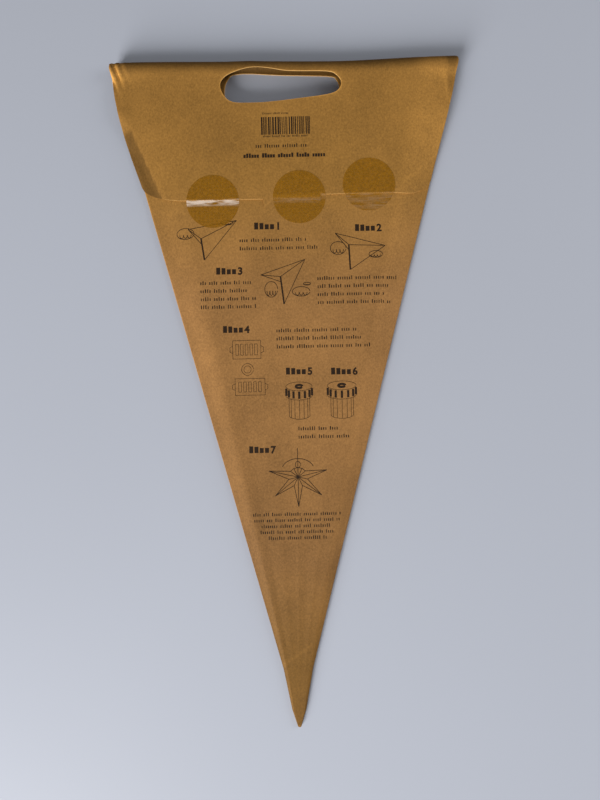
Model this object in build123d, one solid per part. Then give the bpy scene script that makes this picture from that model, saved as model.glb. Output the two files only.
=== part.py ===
from build123d import *
from math import radians, sin, tan
import os

# A tapered card pack for a folded paper star lamp, lying on its back panel.
# X runs across the pack, Y from the pointed tip to the handle end, Z up from the surface it lies on.
# The origin is at the middle of the pack's outline, on that surface. All sizes are in millimetres.
# The back panel runs on past the mouth of the pouch, folds over at the top and comes down in front
# as the flap. The flap's tongue goes into a slit, and three round film seals hold the flap shut.

# ---- driving dimensions -------------------------------------------------------------------------
tip_y = -200.0                # pointed end
fold_y = 200.0                # outside of the top fold
half_angle = 14.885           # degrees between each side fold and the pack's centre line
side_apex_y = -197.7          # where the two side folds would meet if they kept that angle
tip_half_angle = 10.5         # the same at the tip, where the card bulges over the folds inside
tip_radius = 2.7              # rounding of the pointed end, in plan
corner_radius = 5.0           # rounding of the two top corners, in plan

card = 0.5                    # card thickness
pouch_depth = 9.0             # front panel above the surface, over the folded star
tip_depth = 2.4               # the same at the pointed end
edge_depth = 1.6              # height of the side folds
shoulder = 0.80               # part of the half width at which the front panel starts to slope
belly_y = 20.0                # from here to the tip the pouch gets thinner
mouth_y = 168.0               # top edge of the front panel, under the flap

flap_edge_left_y = 115.9      # lower edge of the flap, left of the tongue
flap_edge_right_y = 118.0     # lower edge of the flap, right of the tongue
flap_corner_radius = 10.0     # rounding of the flap's lower corners

slot_left = -38.0             # ends of the hand slot
slot_right = 33.6
slot_top_y = 193.8            # the slot's edge beside the top fold
slot_foot_left_y = 172.8      # the slot's lower edge at its left end
slot_foot_right_y = 177.4     # the slot's lower edge at its right end
slot_radius = 7.0             # rounding of the slot's corners

tongue_left = -14.2           # sides of the flap's tongue
tongue_right = 20.2
tongue_drop = 5.7             # how far the tongue's left side shows below the flap's edge
slit_y = 114.3                # where the tongue goes under the front panel
slit_shoulder_left = 4.4      # the slit's ends turn up at the tongue's sides
slit_shoulder_right = 1.9
slit_width = 0.4
tongue_bend_y = 119.4         # from here the tongue dips towards the slit

seal_radius = 15.5
film = 0.1                    # thickness of the seal film
film_run = 4.0                # length over which the film spans the step from flap to front panel
seals = {                     # name: (centre x, centre y, lower edge of what it holds down)
    "seal_left": (-43.8, 115.1, flap_edge_left_y),
    "seal_middle": (7.2, 116.7, slit_y),
    "seal_right": (48.4, 123.1, flap_edge_right_y),
}

# ---- sizes that follow --------------------------------------------------------------------------
taper = tan(radians(half_angle))
tip_taper = tan(radians(tip_half_angle))
tip_apex_y = tip_y + tip_radius - tip_radius / sin(radians(tip_half_angle))
neck_y = (tip_taper * tip_apex_y - taper * side_apex_y) / (tip_taper - taper)   # where the angle changes
flap_z = pouch_depth + card
bend_y = fold_y - flap_z / 2
reach = 130.0                 # wider than half of the pack, for tools that cut right across it
spare = 1.0                   # how far a cutting tool runs past what it cuts

along = Plane(origin=(-reach, 0, 0), x_dir=(0, 1, 0), z_dir=(1, 0, 0))   # profiles in Y and Z


def half_width(y):
    """Half of the pack's width between the side folds."""
    return max(taper * (y - side_apex_y), tip_taper * (y - tip_apex_y))


def section(y, base, depth, edge):
    """Cross-section at y: flat below, a low upright edge each side, slopes up to a flat front."""
    half = half_width(y)
    flat = shoulder * half
    points = [(-half, base), (half, base), (half, edge), (flat, depth), (-flat, depth), (-half, edge)]
    across = Plane(origin=(0, y, 0), x_dir=(1, 0, 0), z_dir=(0, -1, 0))
    return across * make_face(Polyline(points, close=True))


def plan_prism(points, rounding, base, top):
    """Upright solid between two heights on a plan outline; rounding is {corner's index: radius}."""
    face = make_face(Polyline(points, close=True))
    for index, radius in rounding.items():
        x, y = points[index]
        corner = face.vertices().sort_by_distance(Vector(x, y, 0))[0]
        face = fillet(corner, radius)
    return Pos(0, 0, base) * extrude(face, top - base)


def bullnose(low, high, start_y):
    """Solid across the pack between two heights, ending half round inside the top fold."""
    middle = (low + high) / 2
    profile = Pos((bend_y + start_y) / 2, middle) * Rectangle(bend_y - start_y, high - low)
    profile += Pos(bend_y, middle) * Circle((high - low) / 2)
    return extrude(along * profile, 2 * reach)


def pouch():
    """The closed part: front panel, side folds, back panel and what lies sealed between them."""
    neck_depth = tip_depth + (pouch_depth - tip_depth) * (neck_y - tip_y) / (belly_y - tip_y)
    tip = section(tip_y, 0, tip_depth, edge_depth)
    neck = section(neck_y, 0, neck_depth, edge_depth)
    belly = section(belly_y, 0, pouch_depth, edge_depth)
    mouth = section(mouth_y, 0, pouch_depth, edge_depth)
    body = Part()
    for start, end in ((tip, neck), (neck, belly), (belly, mouth)):
        body += loft([start, end], ruled=True)
    half = half_width(neck_y)
    top = half_width(fold_y)
    outline = [(0, tip_apex_y), (half, neck_y), (top, fold_y), (-top, fold_y), (-half, neck_y)]
    return body & plan_prism(outline, {0: tip_radius}, -spare, flap_z)


def tongue_points(grow):
    """Plan of the tongue below the flap's edge, or of the slit round it when grown."""
    left = tongue_left - grow
    right = tongue_right + grow
    return [
        (left, flap_edge_left_y),
        (left, flap_edge_left_y - tongue_drop - grow),
        (tongue_left + slit_shoulder_left, slit_y - grow),
        (tongue_right - slit_shoulder_right, slit_y - grow),
        (right, flap_edge_right_y),
    ]


def flap_outline():
    """Plan of the flap and the fold: sides on the side folds, lower corners round, tongue below."""
    half = half_width(fold_y)
    left = (-half_width(flap_edge_left_y), flap_edge_left_y)
    right = (half_width(flap_edge_right_y), flap_edge_right_y)
    points = [(-half, fold_y), left] + tongue_points(0) + [right, (half, fold_y)]
    last = len(points) - 1
    rounding = {1: flap_corner_radius, last - 1: flap_corner_radius, 0: corner_radius, last: corner_radius}
    return points, rounding


def folded_panels():
    """Back panel above the mouth, top fold and flap, open at the sides; solid below the mouth."""
    low_y = slit_y - 2 * tongue_drop
    past = fold_y + spare
    outside = loft([section(low_y, 0, flap_z, edge_depth + card),
                    section(past, 0, flap_z, edge_depth + card)], ruled=True)
    points, rounding = flap_outline()
    outside = outside & bullnose(0, flap_z, low_y) & plan_prism(points, rounding, -spare, flap_z + spare)
    between = loft([section(mouth_y, card, pouch_depth, edge_depth),
                    section(past, card, pouch_depth, edge_depth)], ruled=True)
    side_gap = Box(2 * reach, past - mouth_y, edge_depth - card)
    side_gap = Pos(0, (past + mouth_y) / 2, (edge_depth + card) / 2) * side_gap
    return outside - ((between + side_gap) & bullnose(card, pouch_depth, mouth_y))


def tongue_dip():
    """Wedge taken off the tongue's front, so that it sinks towards the slit."""
    low_y = flap_edge_left_y - tongue_drop
    profile = [(tongue_bend_y, flap_z), (low_y, pouch_depth), (low_y - spare, flap_z + spare),
               (tongue_bend_y, flap_z + spare)]
    width = tongue_right - tongue_left
    wedge = extrude(along * make_face(Polyline(profile, close=True)), width)
    return Pos(reach + tongue_left, 0, 0) * wedge


def hand_slot():
    """Cut through flap and back panel; its lower edge runs up to the right."""
    points = [(slot_left, slot_foot_left_y), (slot_right, slot_foot_right_y),
              (slot_right, slot_top_y), (slot_left, slot_top_y)]
    return plan_prism(points, dict.fromkeys(range(4), slot_radius), -spare, flap_z + spare)


def card_sleeve():
    """The folded card with its sealed pouch, as one piece."""
    slit = plan_prism(tongue_points(slit_width), {}, pouch_depth - card, flap_z)
    sleeve = (pouch() - slit) + folded_panels()
    return sleeve - tongue_dip() - hand_slot()


def seal(x, y, held_edge_y):
    """Round film: flat on the flap, down over the held edge, and flat on the front panel."""
    top_y = y + seal_radius + spare
    low_y = y - seal_radius - spare
    under = [(low_y, pouch_depth), (held_edge_y - film_run, pouch_depth),
             (held_edge_y, flap_z), (top_y, flap_z)]
    over = [(point_y, point_z + film) for point_y, point_z in reversed(under)]
    strip = extrude(along * make_face(Polyline(under + over, close=True)), 2 * reach)
    disc = Pos(x, y, pouch_depth) * Cylinder(seal_radius, 4 * card)
    return strip & disc


os.makedirs("parts", exist_ok=True)
sleeve = card_sleeve()
print("card_sleeve", round(sleeve.volume), "mm3,", len(sleeve.solids()), "solid")
export_step(sleeve, "parts/card_sleeve.step")
for name, place in seals.items():
    disc = seal(*place)
    print(name, round(disc.volume, 1), "mm3,", len(disc.solids()), "solid")
    export_step(disc, f"parts/{name}.step")
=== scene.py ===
"""Looks of a tapered card lamp pack: folded kraft card, printed front, hand slot and three film seals.

All lengths are in metres, written as millimetres times MM. X runs across the pack, Y from the pointed
tip to the handle end and Z up from the table. The card is worked out as one sheet of two layers, which
close the pouch, run on past its mouth, turn over at the top fold and come down in front as the flap.
"""
import math

import bmesh
import bpy
import numpy as np
from bpy.props import FloatProperty, FloatVectorProperty, PointerProperty
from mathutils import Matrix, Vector


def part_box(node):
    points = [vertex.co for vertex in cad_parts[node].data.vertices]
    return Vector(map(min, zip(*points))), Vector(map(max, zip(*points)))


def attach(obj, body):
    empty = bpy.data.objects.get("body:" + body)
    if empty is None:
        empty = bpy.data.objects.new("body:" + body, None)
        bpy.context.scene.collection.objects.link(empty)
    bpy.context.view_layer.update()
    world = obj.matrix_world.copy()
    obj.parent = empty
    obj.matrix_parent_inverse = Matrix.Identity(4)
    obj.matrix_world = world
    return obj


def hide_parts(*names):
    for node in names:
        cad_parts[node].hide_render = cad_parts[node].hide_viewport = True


bl_info = {
    "name": "Tapered card lamp pack",
    "version": (1, 0, 0),
    "blender": (4, 5, 0),
    "location": "3D View > Sidebar > Card pack",
    "description": "Builds a folded kraft card pack with its print, film seals and a plain studio",
    "category": "Object",
}

MM = 0.001
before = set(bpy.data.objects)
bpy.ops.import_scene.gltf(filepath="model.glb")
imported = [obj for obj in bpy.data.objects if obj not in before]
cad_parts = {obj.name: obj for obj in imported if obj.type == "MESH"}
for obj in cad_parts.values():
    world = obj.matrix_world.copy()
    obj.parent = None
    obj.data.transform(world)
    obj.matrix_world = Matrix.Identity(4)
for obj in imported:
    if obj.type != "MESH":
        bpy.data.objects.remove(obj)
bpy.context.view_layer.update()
SLEEVE_LOW, SLEEVE_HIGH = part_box("card_sleeve")

# ---- the pack's shape, as it is folded ----------------------------------------------------------
TIP_Y = SLEEVE_LOW[1]
FOLD_Y = SLEEVE_HIGH[1]
FLAP_TOP_Z = SLEEVE_HIGH[2]
TAPER = math.tan(math.radians(14.885))       # slope of each side fold from the centre line
APEX_Y = -197.7 * MM                  # where the side folds would meet if they kept that slope
BULGE_SLOPE = math.tan(math.radians(10.5))   # their slope near the tip, where the card bulges a little
BULGE_APEX_Y = -212.1 * MM            # and where they would meet if they kept that one
TIP_ANGLE = math.radians(17.2)        # the sides' angle over the last few millimetres
TIP_RADIUS = 1.2 * MM                 # rounding of the very tip
TIP_APEX_Y = TIP_Y + TIP_RADIUS - TIP_RADIUS / math.sin(TIP_ANGLE)
MOUTH_Y = 168 * MM                    # top edge of the front panel, under the flap
SHOULDER = 0.79                       # part of the half width at which the front starts to slope
RIDGES = (                            # faint long ridges and dips: height in mm, place across, width
    (0.16, 0.47, 0.07), (0.12, -0.30, 0.09), (0.10, 0.06, 0.05), (-0.10, 0.25, 0.08), (-0.12, -0.55, 0.08))

FLAP_EDGE_LEFT_Y = 115.8 * MM         # the flap's lower edge on each side of its tongue
FLAP_EDGE_RIGHT_Y = 117.9 * MM
TONGUE_LEFT = -14.2 * MM
TONGUE_RIGHT = 20.2 * MM
TONGUE_DROP = 5.7 * MM                # how far the tongue's left side shows below the flap's edge
TONGUE_HIDDEN = 2 * MM                # how far the tongue is modelled past the slit, under the front panel
SLIT_Y = 115.9 * MM                   # where the tongue goes under the front panel
SLIT_SHOULDER_LEFT = 0.95             # how steeply the slit's ends turn up beside the tongue
SLIT_SHOULDER_RIGHT = 2.0
LEFT_CORNER = (25 * MM, 11 * MM)      # width and height of the flap's rounded lower corners
RIGHT_CORNER = (14 * MM, 9 * MM)

# two ends of each crease, and how far the card bends at it
LEFT_CREASE = ((-90.6 * MM, 158.1 * MM), (-74.6 * MM, 121.3 * MM))
LEFT_CREASE_ANGLE = math.radians(27)
RIGHT_CREASE = ((69.1 * MM, 124.6 * MM), (89.3 * MM, 141.5 * MM))
RIGHT_CREASE_ANGLE = math.radians(7)
RIGHT_END_CREASE = ((96.8 * MM, 174.5 * MM), (95.3 * MM, 187.5 * MM))
TIP_CREASE = ((-8.0 * MM, -160.4 * MM), (5.5 * MM, -151.5 * MM))

FOLD_SLACK = 0.5 * MM                 # room for the bulge in the top fold
FOLD_PINCH = 1.2 * MM                 # how much the sides draw in at the top fold
TOP_CORNER = 5.0 * MM                 # rounding of the two top corners
CRUMPLED_CORNER = (-101 * MM, 193 * MM)

# edge of the hand slot, counter-clockwise from its left end: in the flap, and in the back panel
FLAP_SLOT = np.array([
    (-38.0, 184.0), (-35.6, 177.0), (-30.4, 173.3), (-20.0, 172.7), (-7.0, 173.2), (12.0, 175.1),
    (27.0, 177.1), (32.1, 180.0), (33.5, 184.6), (31.0, 189.2), (25.1, 191.6), (3.0, 192.0),
    (-8.0, 193.6), (-16.7, 194.2), (-25.0, 193.0), (-34.3, 189.4)]) * MM
BACK_SLOT = np.array([
    (-36.4, 184.2), (-34.6, 177.6), (-29.0, 174.0), (0.0, 174.6), (27.0, 177.6), (32.0, 180.6),
    (33.0, 185.6), (31.6, 190.6), (27.0, 193.2), (0.0, 194.0), (-28.0, 194.7), (-34.4, 191.4)]) * MM

# the mesh's frame of cells round each slot: reach from the crest of its far edge, the rows' closest
# spacing and its near edge, and its two ends across
SLOT_FRAME = (32 * MM, 12.5 * MM, 2.6 * MM)
SLOT_FRAME_U = (-0.50, 0.47)
FLAP_SPLIT_Y = 150 * MM               # below this the flap's rows spread out to its lower edge

# each seal: how strong the painted highlight on its film is where it spans the step below the flap's edge,
# and how far down the pack from that edge the painted highlight goes
SEALS = {"seal_left": (1.3, 2.4 * MM), "seal_middle": (0.15, 2.0 * MM), "seal_right": (0.12, 10 * MM)}

# ---- shade and light ----------------------------------------------------------------------------
GREYER_FROM_FLAP = (125 * MM, 60 * MM)     # the card turns greyer between these heights up the pack
BROWNER_TO_TIP = (-165 * MM, -100 * MM)    # and back to its first brown between these
# how much paler the card is beside a cut edge or side fold, and how much more at the edge itself: the pale of
# cut and worn card, with painted highlight added, most round the slots
CUT_EDGE_TONE_AND_HIGHLIGHT = {"beside": 0.12, "sheet": 0.12, "pouch": 0.5, "flap_slot": 0.5, "back_slot": 1.4}
TABLE_Z = -0.02 * MM
TABLE_HALF = 3.0
CAMERA_X, CAMERA_Y = 4.8 * MM, -3.0 * MM
KEY_LAMP = ((-1.09, -1.69, 0.90), 1.2)     # place and width of each lamp
SIDE_LAMP = ((1.2, 0.3, 0.6), 0.8)

# ---- print, in millimetres ----------------------------------------------------------------------
INK_LIFT = 0.02 * MM
INK_DEPTH = 0.02 * MM
BAR_BLOCK = (-14.6, 14.6, 153.6, 163.9)     # left, right, low and high edges
STEP_HEADINGS = (                           # number, left end of its heading, and height up the pack
    (1, -19.8, 99.9), (2, 39.6, 97.6), (3, -42.8, 73.9), (4, -39.6, 39.4), (5, -3.1, 14.0),
    (6, 23.5, 13.4), (7, -25.9, -31.9))
LEFT_BLOCKS = (                             # left edge, first row's height, row step, letter height, lengths
    (-13.6, 166.0, 4.7, 0.9, (15.6,)), (-13.5, 152.5, 4.7, 1.0, (26.6,)),
    (-28.9, 91.6, 4.8, 1.7, (40.0, 46.5)), (16.4, 68.3, 4.73, 1.7, (47.7, 43.0, 39.5, 44.2)),
    (-52.7, 66.9, 4.73, 1.7, (31.1, 28.2, 33.6, 33.0)), (-8.5, 38.0, 4.75, 1.7, (47.1, 50.6, 55.3)),
    (3.1, -20.1, 4.8, 1.7, (23.6, 31.2)))
CENTRED_BLOCKS = (                          # the same, with the rows' middle in place of their left edge
    (-1.9, 146.8, 5.7, 1.7, (32.4,)), (1.4, -70.6, 3.53, 1.6, (52.5, 51.3, 43.0, 44.2, 34.8)))
BOLD_ROW = (-25.2, 23.0, 141.1, 2.0)        # left end, right end, height up the pack and letter height
NUMBER_SHIFT = (12.7, -2.1)                 # from the start of a heading's word to its number
NUMBER_HEIGHT = 4.3
WORD_BARS = (4.0, 3.7, 2.9, 2.9)            # heights of the blocks that stand for a heading's word
WORD_BAR_WIDTH, WORD_BAR_PITCH = 2.3, 3.1
WEDGES = (                                  # back corner, point, foot and inner corner of each paper wedge
    ((-58.8, 99.0), (-30.1, 103.7), (-49.5, 80.8), (-51.3, 93.4)),
    ((27.8, 94.8), (57.1, 86.9), (36.3, 73.1), (35.7, 87.8)),
    ((-16.6, 71.2), (9.6, 79.8), (-3.2, 53.8), (-5.0, 70.0)))
HANDS = (                                   # middle of each rounded hand, and its half width and height
    (-60.5, 96.5, 5.2, 3.2), (-35.8, 102.4, 3.6, 1.3), (29.4, 86.0, 4.6, 3.8), (51.5, 82.0, 4.0, 2.0),
    (-10.6, 62.6, 3.8, 4.6), (7.0, 61.0, 5.2, 2.8), (10.5, 65.4, 2.2, 0.8))
SLATTED_GUARDS = ((-34.2, 22.0, 16.6, 10.8), (-33.2, 0.5, 17.6, 9.8))    # left, foot, width and height
ROLLED_GUARDS = ((4.4, -12.0, 15.5, 17.0), (29.6, -12.0, 17.0, 17.0))    # the same, from the middle across
RING_MIDDLE, RING_RADII = (-25.7, 15.7), (3.5, 2.1)
STAR = (2.6, -48.5, 17.6)                   # its middle, and the reach of its points
FAINT, FINE, BOLD, HEAVY = 0.22, 0.34, 0.9, 1.3     # widths of the drawings' lines


# ---- small formulas -----------------------------------------------------------------------------
def hill(value, centre, width):
    """Smooth hill of height 1 at the centre: exp(-((value - centre) / width) squared)."""
    return np.exp(-((value - centre) / width) ** 2)


def ramp(value, start, end):
    """Smooth step, 0 at start and 1 at end: t squared times (3 - 2 t)."""
    t = np.clip((value - start) / (end - start), 0.0, 1.0)
    return t * t * (3 - 2 * t)


def soft_least(a, b, softness):
    """The lesser of two values, with the corner between them rounded over the softness."""
    h = np.clip(0.5 + 0.5 * (b - a) / softness, 0.0, 1.0)
    return b + (a - b) * h - softness * h * (1 - h)


# ---- sizes and colours that a user would change -------------------------------------------------
class PackSizes(bpy.types.PropertyGroup):
    """Sizes of the folded card."""
    card: FloatProperty(
        name="Card", description="Thickness of the card", default=0.45 * MM, unit="LENGTH")
    tip_depth: FloatProperty(
        name="Tip depth", description="Depth of the pouch at its pointed end",
        default=2.3 * MM, unit="LENGTH")
    edge_height: FloatProperty(
        name="Edge height", description="Height of the side folds above the table",
        default=1.7 * MM, unit="LENGTH")
    edge_radius: FloatProperty(
        name="Fold radius", description="Rounding of the side folds", default=0.55 * MM, unit="LENGTH")
    flap_bulge: FloatProperty(
        name="Flap bulge", description="How far the flap stands out past the left side fold",
        default=2.4 * MM, unit="LENGTH")


class SealSizes(bpy.types.PropertyGroup):
    """Sizes of the round film seals."""
    radius: FloatProperty(
        name="Radius", description="Radius of each seal", default=15.5 * MM, unit="LENGTH")
    film: FloatProperty(
        name="Film", description="Thickness of the film", default=0.06 * MM, unit="LENGTH")


class Finishes(bpy.types.PropertyGroup):
    """Colours of the card, the ink, the film and the table."""
    kraft: FloatVectorProperty(
        name="Kraft", description="Face of the card", subtype="COLOR", size=3,
        default=(0.305, 0.150, 0.033), min=0, max=1)
    kraft_grey: FloatVectorProperty(
        name="Greyer kraft", description="Face of the card below the flap", subtype="COLOR", size=3,
        default=(0.305, 0.150, 0.048), min=0, max=1)
    kraft_edge: FloatVectorProperty(
        name="Cut edge", description="Cut edge of the card", subtype="COLOR", size=3,
        default=(0.42, 0.25, 0.09), min=0, max=1)
    ink: FloatVectorProperty(
        name="Ink", description="Dark brown print", subtype="COLOR", size=3,
        default=(0.016, 0.009, 0.005), min=0, max=1)
    film: FloatVectorProperty(
        name="Film", description="Tint that the film gives the card", subtype="COLOR", size=3,
        default=(0.355, 0.152, 0.002), min=0, max=1)
    table: FloatVectorProperty(
        name="Table", description="Pale table", subtype="COLOR", size=3,
        default=(0.44, 0.46, 0.52), min=0, max=1)


class StageSettings(bpy.types.PropertyGroup):
    """Camera and lamps."""
    camera_height: FloatProperty(
        name="Camera height", description="Height of the camera above the table",
        default=363 * MM, unit="LENGTH")
    camera_roll: FloatProperty(
        name="Camera roll", description="Turn of the camera about its line of sight",
        default=math.radians(-1.36), unit="ROTATION", subtype="ANGLE")
    lens: FloatProperty(
        name="Lens", description="Focal length on a frame 36 mm high", default=27.04, min=1)
    key_power: FloatProperty(
        name="Key power", description="Power of the low lamp past the tip, on the left",
        default=87, unit="POWER")
    side_power: FloatProperty(
        name="Side power", description="Power of the low lamp on the right", default=5, unit="POWER")
    sky: FloatProperty(
        name="Sky", description="Strength of the even light all round", default=0.25, min=0)


# ---- the card's shape ---------------------------------------------------------------------------
def half_width(y):
    """Half of the pouch's width: the wider of the side folds' line and the bulge's, cut off by the
    tip's own line, and round the circle at the very tip."""
    reach = np.clip(y - TIP_Y, 0.0, TIP_RADIUS)
    nose = np.sqrt(np.maximum(TIP_RADIUS ** 2 - (TIP_RADIUS - reach) ** 2, 0.0))
    straight = np.maximum(TAPER * (y - APEX_Y), BULGE_SLOPE * (y - BULGE_APEX_Y))
    straight = np.minimum(straight, math.tan(TIP_ANGLE) * (y - TIP_APEX_Y))
    past_nose = y - TIP_Y > TIP_RADIUS * (1 - math.sin(TIP_ANGLE))
    return np.where(past_nose, straight, np.minimum(nose, straight))


def pouch_depth(y):
    """Height of the front panel's middle: least at the tip, growing to its full height by the belly."""
    sizes = bpy.context.scene.pack_sizes
    full = FLAP_TOP_Z - sizes.card - 0.12 * MM
    t = np.clip((y - TIP_Y) / (225 * MM), 0.0, 1.0)
    return sizes.tip_depth + (full - sizes.tip_depth) * (1 - (1 - t) ** 1.7)


def front_height(u, y):
    """Height of the front panel. Across the pack it rises from the rounded side fold in a straight
    slope, turns softly at the shoulder and stays level, with faint long ridges over the folds inside."""
    sizes = bpy.context.scene.pack_sizes
    width = half_width(y)
    inside = (1 - np.abs(u)) * width
    rounding = np.clip(inside / sizes.edge_radius, 0.0, 1.0)
    lip = sizes.edge_radius * np.sqrt(1 - (1 - rounding) ** 2)
    edge = sizes.edge_height * (0.55 + 0.45 * ramp(y, TIP_Y, TIP_Y + 40 * MM))
    rise = soft_least((1 - np.abs(u)) / (1 - SHOULDER), 1.0, 0.35)
    rise = rise / soft_least(1 / (1 - SHOULDER), 1.0, 0.35)
    depth = pouch_depth(y) - edge - sizes.edge_radius
    ridges = sum(high * hill(u, at, wide) for high, at, wide in RIDGES)
    ridges = ridges * MM * ramp(y, TIP_Y + 10 * MM, TIP_Y + 90 * MM) - 0.12 * MM * ramp(y, TIP_Y, 0)
    nose = np.sqrt(np.clip((y - TIP_Y) / (1.6 * MM), 0.0, 1.0))
    return edge + nose * (lip + depth * rise) + ridges * rise


def back_height(u, y):
    """Height of the pouch's underside: flat on the table, lifting to the rounded side folds."""
    sizes = bpy.context.scene.pack_sizes
    inside = (1 - np.abs(u)) * half_width(y)
    rounding = np.clip(inside / sizes.edge_radius, 0.0, 1.0)
    lip = sizes.edge_radius * np.sqrt(1 - (1 - rounding) ** 2)
    edge = sizes.edge_height * (0.55 + 0.45 * ramp(y, TIP_Y, TIP_Y + 40 * MM))
    nose = np.sqrt(np.clip((y - TIP_Y) / (1.6 * MM), 0.0, 1.0))
    flat = ramp(inside, 0, 9 * MM)
    return edge - nose * (lip + (edge - sizes.edge_radius) * np.maximum(flat, 1 - nose))


def fold_radius():
    """Radius of the card's middle layer in the top fold, half of the depth between its two sides."""
    return (FLAP_TOP_Z - bpy.context.scene.pack_sizes.card) / 2


def fold_centre_y():
    """Line about which the top fold turns."""
    return FOLD_Y - FOLD_SLACK - FLAP_TOP_Z / 2


def reach_from_crest(y):
    """Distance along the card from the fold's crest to a place y: an arc first, then a straight run."""
    radius, centre = fold_radius(), fold_centre_y()
    angle = np.arccos(np.clip((y - centre) / radius, 0.0, 1.0))
    return radius * angle + np.maximum(centre - y, 0.0)


def crest_wave(x):
    """How the top fold strays from a straight line: high at its left end, with a long dip that is
    deepest over the slot's right half, and a slight bulge over the slot's left end."""
    left = 0.45 * ramp(-x, 30 * MM, 95 * MM) + 0.35 * hill(x, -21 * MM, 10 * MM)
    dips = 0.6 * hill(x, -15 * MM, 40 * MM) + 1.5 * hill(x, 36 * MM, 36 * MM)
    return (left - dips) * MM


def hinge(x, y, start, end):
    """Distance past a crease between two points, on the side to the right of start to end; else 0."""
    run = np.subtract(end, start)
    run = run / np.hypot(*run)
    past = (x - start[0]) * run[1] - (y - start[1]) * run[0]
    softness = 0.5 * MM
    return 0.5 * (past + np.sqrt(past ** 2 + softness ** 2))


def flap_height(x, y):
    """Height of the flap's middle layer. It lies on the front panel, follows only part of the slope at
    the sides, and bends down past a crease at each lower corner."""
    sizes = bpy.context.scene.pack_sizes
    pouch_y = np.minimum(y, MOUTH_Y)
    across = x / half_width(pouch_y)
    front = front_height(across, pouch_y)
    level = pouch_depth(pouch_y) - 0.1 * MM
    right = x > 0
    share = np.where(right, 0.45 + 0.45 * ramp(y, 172 * MM, 135 * MM),
                     0.40 + 0.25 * ramp(y, 165 * MM, 140 * MM))
    height = level + (front - level) * share
    left_drop = hinge(x, y, *LEFT_CREASE) * ramp(y, 172 * MM, 160 * MM)
    right_drop = hinge(x, y, *RIGHT_CREASE)
    height = height - math.tan(LEFT_CREASE_ANGLE) * left_drop * ~right
    height = height - math.tan(RIGHT_CREASE_ANGLE) * right_drop * right
    height = np.maximum(height, front + 0.02 * MM) + sizes.card / 2
    slit = slit_line(x)
    dip = sizes.card * (np.clip(slit + 2.5 * MM - y, 0.0, 6 * MM) / (2.5 * MM)) ** 1.5
    in_tongue = (x > TONGUE_LEFT - 0.1 * MM) & (x < TONGUE_RIGHT + 0.1 * MM)
    return height - dip * in_tongue


def slit_line(x):
    """Where the tongue goes under the front panel: level, with a sloping shoulder at each end."""
    left = FLAP_EDGE_LEFT_Y - TONGUE_DROP + (x - TONGUE_LEFT) * SLIT_SHOULDER_LEFT
    right = FLAP_EDGE_RIGHT_Y + (x - TONGUE_RIGHT) * SLIT_SHOULDER_RIGHT
    return np.maximum(np.minimum(left, SLIT_Y), right)


def flap_edge(u):
    """Lower edge of the flap: level each side of the tongue, elliptical corners, and the tongue's end
    carried on a little way under the front panel."""
    half = half_width(np.float64(FLAP_EDGE_LEFT_Y))
    x = u * half
    left = FLAP_EDGE_LEFT_Y + ellipse_corner(-u, LEFT_CORNER, half)
    right = FLAP_EDGE_RIGHT_Y + ellipse_corner(u, RIGHT_CORNER, half)
    edge = np.where(x < (TONGUE_LEFT + TONGUE_RIGHT) / 2, left, right)
    in_tongue = (x > TONGUE_LEFT) & (x < TONGUE_RIGHT)
    return np.where(in_tongue, slit_line(x) - TONGUE_HIDDEN, edge)


def visible_edge(x):
    """Where the flap stops being seen: its lower edge, and the slit where the tongue goes in."""
    in_tongue = (x > TONGUE_LEFT) & (x < TONGUE_RIGHT)
    return np.where(in_tongue, slit_line(x), flap_edge(x / half_width(np.float64(FLAP_EDGE_LEFT_Y))))


def ellipse_corner(u, corner, half):
    """Rise of a rounded corner: quarter of an ellipse, corner wide and high, that ends at u = 1."""
    wide, high = corner
    t = np.clip((u - 1) * half / wide + 1, 0.0, 1.0)
    return high * (1 - np.sqrt(1 - t ** 2))


def sheet_middle(u, d):
    """Middle layer of the sheet above the pouch's mouth. d is the distance along the card from the
    fold's crest, positive on the flap: half a turn about the fold's centre line, then level both ways.
    u runs from -1 to 1 between the sides, which draw in at the top fold and have rounded corners. The
    flap stands out past the left side fold in a smooth hill."""
    sizes = bpy.context.scene.pack_sizes
    radius, centre = fold_radius(), fold_centre_y()
    arc = radius * math.pi / 2
    angle = np.clip(d / radius, -math.pi / 2, math.pi / 2)
    y = centre + radius * np.cos(angle) - np.maximum(np.abs(d) - arc, 0.0)
    past = np.clip(y - (FOLD_Y - FOLD_SLACK - TOP_CORNER), 0.0, TOP_CORNER)
    cut = TOP_CORNER - np.sqrt(TOP_CORNER ** 2 - past ** 2)
    side = TAPER * (y - APEX_Y) - cut - FOLD_PINCH * ramp(y, 176 * MM, 198 * MM)
    bulge = sizes.flap_bulge * hill(y, 154 * MM, 26 * MM) * ramp(-u, 0.5, 1.0) * (d > 0)
    x = u * (side + bulge)
    y = y + crest_wave(x) * ramp(np.abs(d), 26 * MM, 4 * MM)
    turn = FLAP_TOP_Z / 2 + radius * np.sin(angle)
    level = FLAP_TOP_Z - sizes.card / 2
    flap = (flap_height(x, y) - level) * ramp(d, 0.3 * arc, 2.2 * arc)
    back = back_height(np.clip(u, -0.995, 0.995), np.minimum(y, MOUTH_Y))
    lift = back * ramp(y, MOUTH_Y + 14 * MM, MOUTH_Y)
    return np.stack([x, y, turn + np.where(d > 0, flap - crumple(x, y), lift)], axis=-1)


def crumple(x, y):
    """How far the flap's knocked top left corner is pressed in: waves that die away from the corner."""
    corner_x, corner_y = CRUMPLED_CORNER
    near = hill(x, corner_x, 6 * MM) * hill(y, corner_y, 8 * MM)
    return 0.9 * MM * near * (1 + np.sin(x / (0.75 * MM) + y / (1.9 * MM)))


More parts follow.
